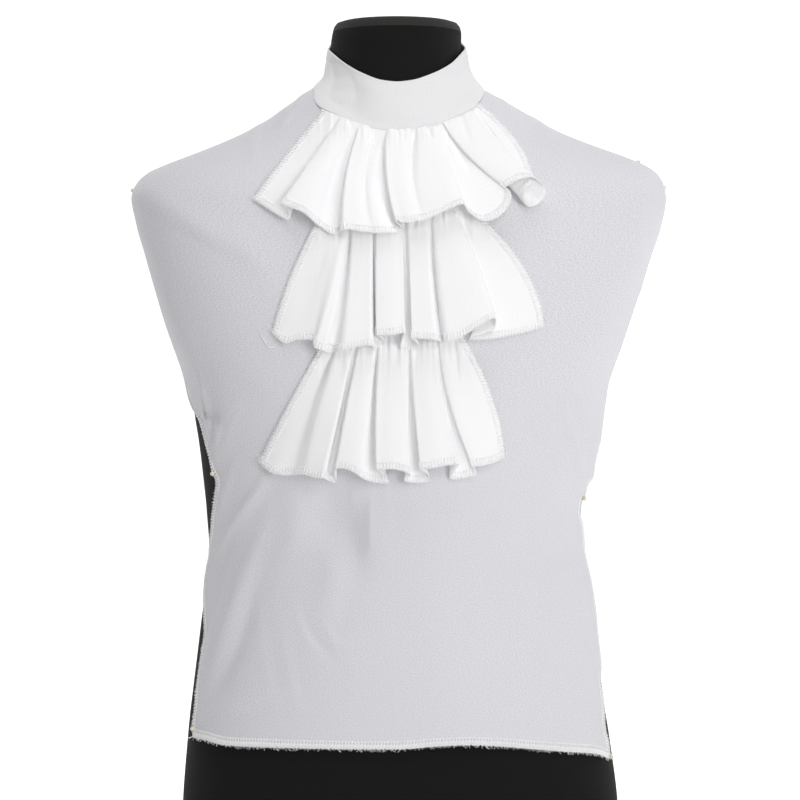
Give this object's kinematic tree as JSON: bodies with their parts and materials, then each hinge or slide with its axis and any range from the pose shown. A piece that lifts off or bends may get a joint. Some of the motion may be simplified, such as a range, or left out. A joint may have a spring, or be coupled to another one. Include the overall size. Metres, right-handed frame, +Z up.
{
  "type": "jabot shirt front on a limbless dress form",
  "caption": "Sleeveless shirt front with a stand collar and a three-tier ruffled jabot, worn on a limbless dress form.",
  "frame": {"origin": "middle of the box around the whole part, at the height of the form's flat base", "axes": "+Z up the form to its neck cap, -Y out of the chest where the ruffles hang, +X to the left arm side of the wearer"},
  "size_m": [0.4623, 0.2605, 0.7386],
  "materials": {
    "form_jersey": "matte",
    "panel_cotton": "matte",
    "white_cotton": "matte"
  },
  "bodies": {
    "root": {"dress_form": "form_jersey", "front_panel": "panel_cotton", "collar_band": "white_cotton", "ruffle_top": "white_cotton", "ruffle_middle": "white_cotton", "ruffle_bottom": "white_cotton"}
  },
  "joints": []
}
